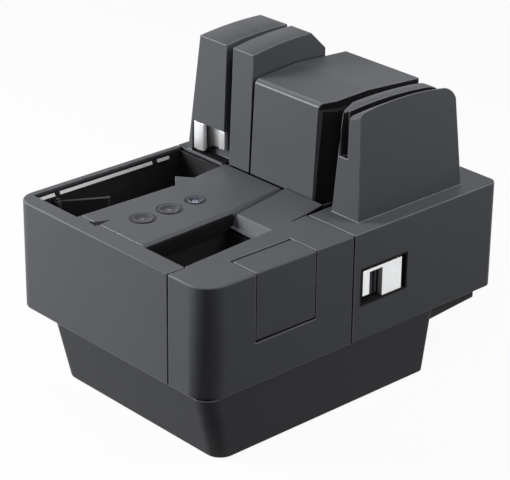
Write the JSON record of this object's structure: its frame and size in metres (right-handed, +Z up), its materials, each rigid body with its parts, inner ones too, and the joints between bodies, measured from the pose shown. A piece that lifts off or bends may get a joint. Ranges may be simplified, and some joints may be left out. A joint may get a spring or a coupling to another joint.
{
  "type": "cheque scanner",
  "caption": "Desktop cheque scanner with a hopper, a pocket, two outward-opening covers over a U-shaped track, an imprinter door and control keys.",
  "frame": {"origin": "centre of the overall box in plan, on the surface that the feet stand on", "axes": "+Z up, -Y towards the operator in front, +X to the operator's right"},
  "size_m": [0.23, 0.316, 0.2547],
  "materials": {
    "body_plastic": "dark grey moulded plastic with a fine grain",
    "tray_plastic": "near-black moulded plastic",
    "key_plastic": "smooth dark grey plastic",
    "power_key_plastic": "smooth grey-blue plastic",
    "silver_plastic": "silver paint",
    "white_plastic": "white plastic strip",
    "rubber": "black rubber",
    "roller_rubber": "dark grey rubber",
    "steel": "bright steel",
    "zinc_plate": "zinc-plated sheet",
    "frame_plastic": "black moulded plastic",
    "sensor_black": "black sensor housing",
    "glass": "clear glass",
    "board_green": "green solder mask",
    "ink_plastic": "black cartridge plastic",
    "belt_rubber": "black belt rubber",
    "socket_black": "black socket plastic"
  },
  "bodies": {
    "root": {"lower_case": "body_plastic", "rubber_feet": "rubber", "chassis_plate": "zinc_plate", "front_cover": "body_plastic", "corner_cover": "body_plastic", "door_pin": "steel", "imprinter_bay": "frame_plastic", "ink_cartridge": "ink_plastic", "hopper_tray": "tray_plastic", "hopper_strips": "white_plastic", "pusher_pin": "steel", "pocket_tray": "tray_plastic", "control_plate": "body_plastic", "key_board": "board_green", "key_switches": "socket_black", "exit_cover": "body_plastic", "track_frame": "frame_plastic", "exit_guide": "frame_plastic", "inner_track_cover": "body_plastic", "center_cover": "body_plastic", "rear_guide": "frame_plastic", "rear_cover": "body_plastic", "power_inlet": "socket_black", "data_socket": "socket_black", "drive_motor": "steel", "drive_belt": "belt_rubber", "right_image_sensor": "sensor_black", "right_sensor_glass": "glass", "magnetic_head": "steel", "main_board": "board_green", "left_hinge_pin": "steel", "right_hinge_pin": "steel"},
    "left_cover": {"left_cover": "body_plastic", "left_guide_plate": "frame_plastic", "left_image_sensor": "sensor_black", "left_sensor_glass": "glass", "left_lever_pin": "steel", "separation_pad": "rubber"},
    "left_lever": {"left_lever": "silver_plastic"},
    "left_pinch": {"left_pinch_roller": "frame_plastic"},
    "right_cover": {"right_cover": "body_plastic", "right_guide_plate": "frame_plastic", "right_latch_pin": "steel"},
    "right_latch": {"right_latch": "silver_plastic"},
    "right_pinch": {"right_pinch_roller": "frame_plastic"},
    "rear_pinch": {"rear_pinch_roller": "frame_plastic"},
    "imprinter_door": {"imprinter_door": "body_plastic"},
    "start_key": {"start_key": "key_plastic"},
    "stop_key": {"stop_key": "key_plastic"},
    "power_key": {"power_key": "power_key_plastic"},
    "pusher": {"pusher_arm": "tray_plastic"},
    "motor_drive": {"motor_pulley": "steel"},
    "feed_drive": {"feed_shaft": "steel", "feed_roller": "roller_rubber"},
    "left_drive": {"left_drive_shaft": "steel", "left_drive_roller": "roller_rubber"},
    "rear_drive": {"rear_drive_shaft": "steel", "rear_drive_roller": "roller_rubber"},
    "right_drive": {"right_drive_shaft": "steel", "right_drive_roller": "roller_rubber"}
  },
  "joints": [
    {"name": "left_cover_hinge", "type": "hinge", "parent": "root", "child": "left_cover", "pos_m": [-0.0655, 0.15, 0.1], "axis": [0, 0, 1], "range_deg": [-35, 0]},
    {"name": "right_cover_hinge", "type": "hinge", "parent": "root", "child": "right_cover", "pos_m": [0.069, 0.15, 0.1], "axis": [0, 0, 1], "range_deg": [0, 35]},
    {"name": "left_lever_pivot", "type": "hinge", "parent": "left_cover", "child": "left_lever", "pos_m": [-0.0935, 0.0171, 0.163], "axis": [0, 0, 1], "range_deg": [-12, 0], "stiffness_Nm_per_rad": 0.05, "springref_deg": 17.19},
    {"name": "right_latch_pivot", "type": "hinge", "parent": "right_cover", "child": "right_latch", "pos_m": [0.11165, 0.0453, 0.102], "axis": [0, 0, 1], "range_deg": [0, 12], "stiffness_Nm_per_rad": 0.05, "springref_deg": -17.19},
    {"name": "imprinter_door_hinge", "type": "hinge", "parent": "root", "child": "imprinter_door", "pos_m": [0.1126, -0.077, 0.0944], "axis": [0, 1, 0], "range_deg": [0, 85]},
    {"name": "start_key_travel", "type": "slide", "parent": "root", "child": "start_key", "axis": [0, 0, -1], "range_m": [0, 0.001], "stiffness_N_per_m": 250, "springref_m": -0.001},
    {"name": "stop_key_travel", "type": "slide", "parent": "root", "child": "stop_key", "axis": [0, 0, -1], "range_m": [0, 0.001], "stiffness_N_per_m": 250, "springref_m": -0.001},
    {"name": "power_key_travel", "type": "slide", "parent": "root", "child": "power_key", "axis": [0, 0, -1], "range_m": [0, 0.001], "stiffness_N_per_m": 250, "springref_m": -0.001},
    {"name": "pusher_pivot", "type": "hinge", "parent": "root", "child": "pusher", "pos_m": [-0.105, -0.123, 0.121], "axis": [0, 0, 1], "range_deg": [0, 26], "stiffness_Nm_per_rad": 0.01, "springref_deg": -17.19},
    {"name": "feed_spin", "type": "hinge", "parent": "root", "child": "feed_drive", "pos_m": [-0.0522, -0.034, 0.121], "axis": [0, 0, 1], "continuous": true},
    {"name": "motor_spin", "type": "hinge", "parent": "root", "child": "motor_drive", "pos_m": [0.00175, -0.008, 0.121], "axis": [0, 0, 1], "continuous": true},
    {"name": "left_drive_spin", "type": "hinge", "parent": "root", "child": "left_drive", "pos_m": [-0.04657, 0.042, 0.121], "axis": [0, 0, 1], "continuous": true},
    {"name": "rear_drive_spin", "type": "hinge", "parent": "root", "child": "rear_drive", "pos_m": [0.00175, 0.11232, 0.121], "axis": [0, 0, 1], "continuous": true},
    {"name": "right_drive_spin", "type": "hinge", "parent": "root", "child": "right_drive", "pos_m": [0.05008, 0.042, 0.121], "axis": [0, 0, 1], "continuous": true},
    {"name": "left_pinch_spin", "type": "hinge", "parent": "left_cover", "child": "left_pinch", "pos_m": [-0.06392, 0.042, 0.121], "axis": [0, 0, 1], "continuous": true},
    {"name": "rear_pinch_spin", "type": "hinge", "parent": "root", "child": "rear_pinch", "pos_m": [0.00175, 0.12968, 0.121], "axis": [0, 0, 1], "continuous": true},
    {"name": "right_pinch_spin", "type": "hinge", "parent": "right_cover", "child": "right_pinch", "pos_m": [0.06742, 0.042, 0.121], "axis": [0, 0, 1], "continuous": true}
  ],
  "couplings": [
    {"joint": "motor_spin", "follows": "feed_spin", "ratio": 1},
    {"joint": "left_drive_spin", "follows": "feed_spin", "ratio": 1},
    {"joint": "rear_drive_spin", "follows": "feed_spin", "ratio": 1},
    {"joint": "right_drive_spin", "follows": "feed_spin", "ratio": 1},
    {"joint": "left_pinch_spin", "follows": "feed_spin", "ratio": -1.4286},
    {"joint": "rear_pinch_spin", "follows": "feed_spin", "ratio": -1.4286},
    {"joint": "right_pinch_spin", "follows": "feed_spin", "ratio": -1.4286}
  ]
}
